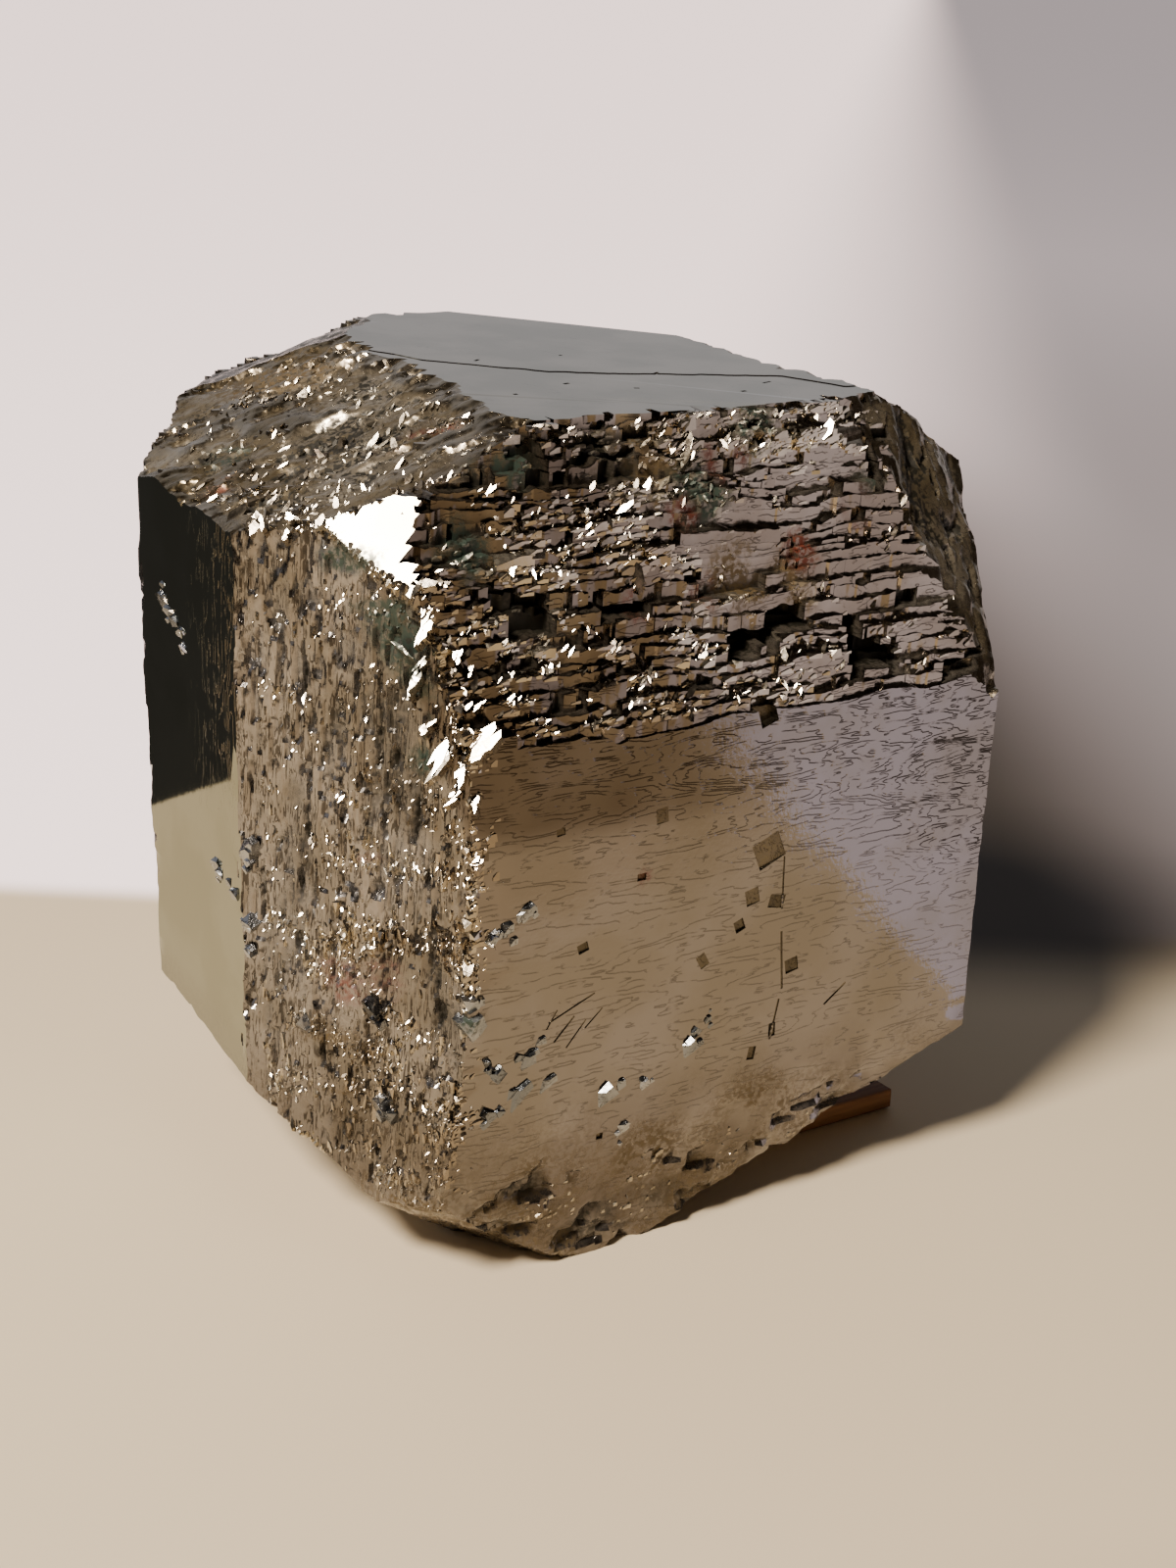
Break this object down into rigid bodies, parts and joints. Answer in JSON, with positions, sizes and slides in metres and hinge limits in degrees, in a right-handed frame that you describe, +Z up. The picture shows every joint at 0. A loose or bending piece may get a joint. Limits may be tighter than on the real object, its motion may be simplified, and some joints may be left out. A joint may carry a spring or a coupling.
{
  "type": "pyrite specimen",
  "caption": "Large single pyrite crystal with mirror, ribbed and ledged faces, resting on a thin wooden shim.",
  "frame": {"origin": "centre of the specimen's bottom, on the surface it stands on", "axes": "+Z up, out of the flat mirror face on top; -Y out of the large striated front face; -X out of the narrow dark left face"},
  "size_m": [0.0972, 0.0864, 0.0989],
  "materials": {
    "pyrite": "metallic lustre: mirror faces, striated faces and rough iron-stained faces",
    "shim_wood": "bare sawn wood"
  },
  "bodies": {
    "root": {"pyrite_crystal": "pyrite", "wooden_shim": "shim_wood"}
  },
  "joints": []
}
